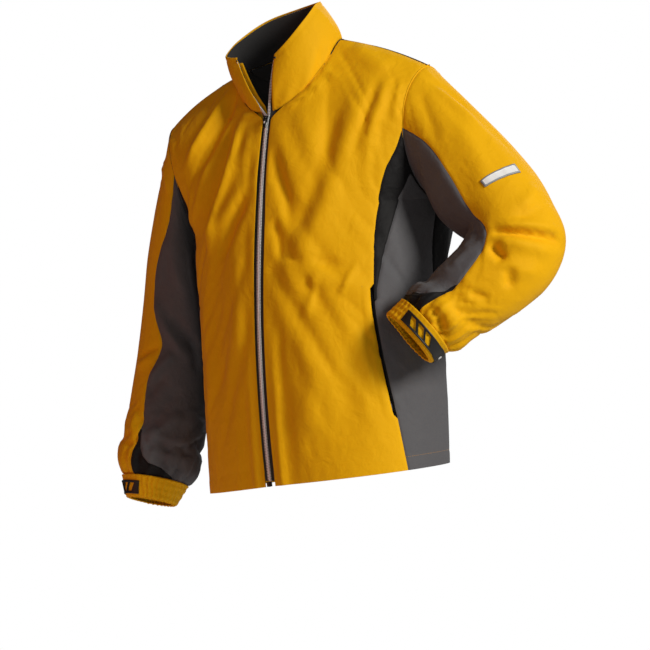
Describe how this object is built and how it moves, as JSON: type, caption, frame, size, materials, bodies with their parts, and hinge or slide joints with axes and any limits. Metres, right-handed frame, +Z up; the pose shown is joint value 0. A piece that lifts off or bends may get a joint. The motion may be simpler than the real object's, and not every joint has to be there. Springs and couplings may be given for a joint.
{
  "type": "hardshell jacket",
  "caption": "Zipped rain shell jacket with a stand-up collar, panelled body and sleeves, elastic cuffs with tabs, zipped side pockets and a hanger loop.",
  "frame": {"origin": "inside the hanger loop at the nape, on the seat where a hook bears", "axes": "+Z up, from the hem towards the collar; -Y is the front with the zip; +X is the wearer's left"},
  "size_m": [0.8209, 0.3772, 0.8227],
  "materials": {
    "yellow_shell": "matt two-layer rain shell fabric, golden yellow",
    "grey_shell": "matt rain shell fabric, mid grey",
    "black_shell": "matt rain shell fabric, black",
    "black_lining": "brushed tricot lining, black",
    "black_tape": "woven polyester zip tape, black",
    "silver_coil": "metallised moulded teeth, silver",
    "zip_moulding": "moulded acetal stops and retainer, black",
    "black_zinc": "die-cast zinc, black lacquer",
    "black_rubber": "moulded soft PVC, satin black",
    "white_badge": "moulded soft badge, white with a grey rim"
  },
  "bodies": {
    "shell": {"left_front_panel": "yellow_shell", "right_front_panel": "yellow_shell", "back_panel": "yellow_shell", "left_side_panel": "grey_shell", "right_side_panel": "grey_shell", "left_front_insert": "black_shell", "right_front_insert": "black_shell", "left_back_insert": "black_shell", "right_back_insert": "black_shell", "left_hem_facing": "yellow_shell", "right_hem_facing": "yellow_shell", "collar_outer": "yellow_shell", "collar_lining": "black_lining", "back_neck_facing": "black_lining", "storm_flap": "yellow_shell", "left_zip_tape": "black_tape", "right_zip_tape": "black_tape", "left_zip_teeth": "silver_coil", "right_zip_teeth": "silver_coil", "left_top_stop": "zip_moulding", "right_top_stop": "zip_moulding", "zip_pin": "zip_moulding", "zip_box": "zip_moulding", "left_pocket_bag": "black_lining", "right_pocket_bag": "black_lining", "left_pocket_zip": "black_tape", "right_pocket_zip": "black_tape", "left_pocket_welt": "yellow_shell", "right_pocket_welt": "yellow_shell", "hanger_loop": "black_tape"},
    "zip_slider": {"zip_slider": "black_zinc"},
    "zip_pull": {"zip_pull": "black_rubber"},
    "left_sleeve": {"left_sleeve_top": "yellow_shell", "left_sleeve_under": "grey_shell", "left_sleeve_wedge": "black_shell", "left_cuff": "yellow_shell", "left_loop_patch": "black_lining", "sleeve_badge": "white_badge"},
    "left_cuff_tab": {"left_cuff_tab": "black_rubber"},
    "left_pocket_slider": {"left_pocket_slider": "black_zinc"},
    "left_pocket_pull": {"left_pocket_pull": "black_rubber"},
    "right_sleeve": {"right_sleeve_top": "yellow_shell", "right_sleeve_under": "grey_shell", "right_sleeve_wedge": "black_shell", "right_cuff": "yellow_shell", "right_loop_patch": "black_lining"},
    "right_cuff_tab": {"right_cuff_tab": "black_rubber"},
    "right_pocket_slider": {"right_pocket_slider": "black_zinc"},
    "right_pocket_pull": {"right_pocket_pull": "black_rubber"}
  },
  "joints": [
    {"name": "left_sleeve_swing", "type": "hinge", "parent": "shell", "child": "left_sleeve", "pos_m": [0.224, 0.01, -0.046], "axis": [0, -1, 0], "range_deg": [0, 12]},
    {"name": "right_sleeve_swing", "type": "hinge", "parent": "shell", "child": "right_sleeve", "pos_m": [-0.23, -0.102, -0.082], "axis": [0, 1, 0], "range_deg": [0, 12]},
    {"name": "main_zip_slide", "type": "hinge", "parent": "shell", "child": "zip_slider", "pos_m": [0, 1.5438, -0.6766], "axis": [1, 0, 0], "range_deg": [0, 18.9]},
    {"name": "main_pull_swing", "type": "hinge", "parent": "zip_slider", "child": "zip_pull", "pos_m": [0, -0.15116, -0.11603], "axis": [-1, 0, 0], "range_deg": [0, 100]},
    {"name": "left_tab_peel", "type": "hinge", "parent": "left_sleeve", "child": "left_cuff_tab", "pos_m": [0.25694, -0.17488, -0.4621], "axis": [-0.6551, -0.3909, -0.6465], "range_deg": [0, 55]},
    {"name": "right_tab_peel", "type": "hinge", "parent": "right_sleeve", "child": "right_cuff_tab", "pos_m": [-0.29988, -0.22468, -0.70654], "axis": [0.2192, -0.1273, 0.9673], "range_deg": [0, 55]},
    {"name": "left_pocket_slide", "type": "slide", "parent": "shell", "child": "left_pocket_slider", "axis": [-0.1129, 0.0078, 0.9936], "range_m": [0, 0.1702]},
    {"name": "left_pocket_pull_swing", "type": "hinge", "parent": "left_pocket_slider", "child": "left_pocket_pull", "pos_m": [0.19048, -0.14542, -0.59672], "axis": [-0.469, -0.882, -0.0464], "range_deg": [0, 35]},
    {"name": "right_pocket_slide", "type": "slide", "parent": "shell", "child": "right_pocket_slider", "axis": [-0.1122, 0.072, -0.9911], "range_m": [0, 0.1714]},
    {"name": "right_pocket_pull_swing", "type": "hinge", "parent": "right_pocket_slider", "child": "right_pocket_pull", "pos_m": [-0.17124, -0.16134, -0.44733], "axis": [-0.4663, 0.8769, 0.1165], "range_deg": [0, 35]}
  ]
}
